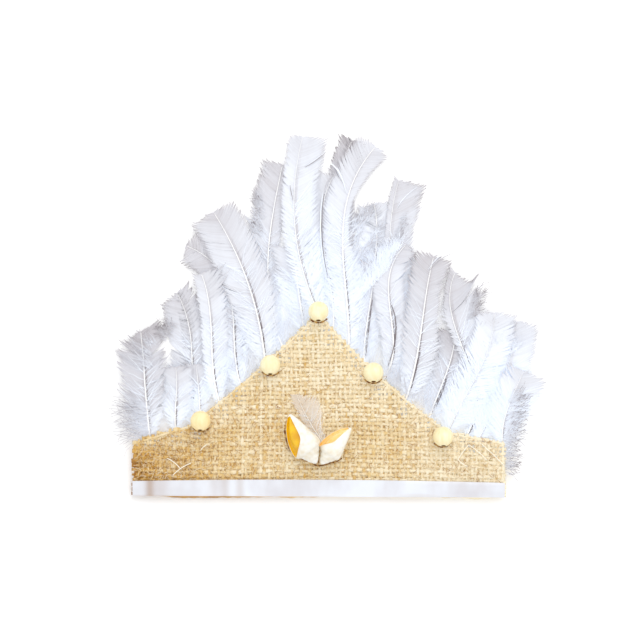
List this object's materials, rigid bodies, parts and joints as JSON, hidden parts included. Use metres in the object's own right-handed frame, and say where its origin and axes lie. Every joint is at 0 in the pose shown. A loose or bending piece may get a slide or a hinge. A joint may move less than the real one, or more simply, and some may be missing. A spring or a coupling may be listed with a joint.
{
  "type": "feathered headdress",
  "caption": "Feathered headdress of peaked open sacking with white feathers, a satin ribbon, wooden beads and two small sea shells.",
  "frame": {"origin": "middle of the underside of the elastic behind the brow", "axes": "+X across the brow, +Y from the brow to the feather tips, +Z out of the front"},
  "size_m": [0.2567, 0.218, 0.0204],
  "materials": {
    "sacking": "open tan weave",
    "backing": "open brown weave",
    "feather": "soft white feather",
    "ribbon": "white satin",
    "wood": "pale bare wood",
    "shell": "glossy shell, orange at the mouth",
    "elastic": "plain ribbed elastic"
  },
  "bodies": {
    "root": {"elastic_band": "elastic", "back_panel": "backing", "front_panel": "sacking", "ribbon": "ribbon", "bead_1": "wood", "bead_2": "wood", "bead_3": "wood", "bead_4": "wood", "bead_5": "wood", "shell_left": "shell", "shell_right": "shell", "shell_feather": "feather", "feather_01": "feather", "feather_02": "feather", "feather_03": "feather", "feather_04": "feather", "feather_05": "feather", "feather_06": "feather", "feather_07": "feather", "feather_08": "feather", "feather_09": "feather", "feather_10": "feather", "feather_11": "feather", "feather_12": "feather", "feather_13": "feather", "feather_14": "feather", "feather_15": "feather", "feather_16": "feather", "feather_17": "feather", "feather_18": "feather", "feather_19": "feather", "feather_20": "feather", "feather_21": "feather", "feather_22": "feather", "feather_23": "feather", "feather_24": "feather", "feather_25": "feather"}
  },
  "joints": []
}
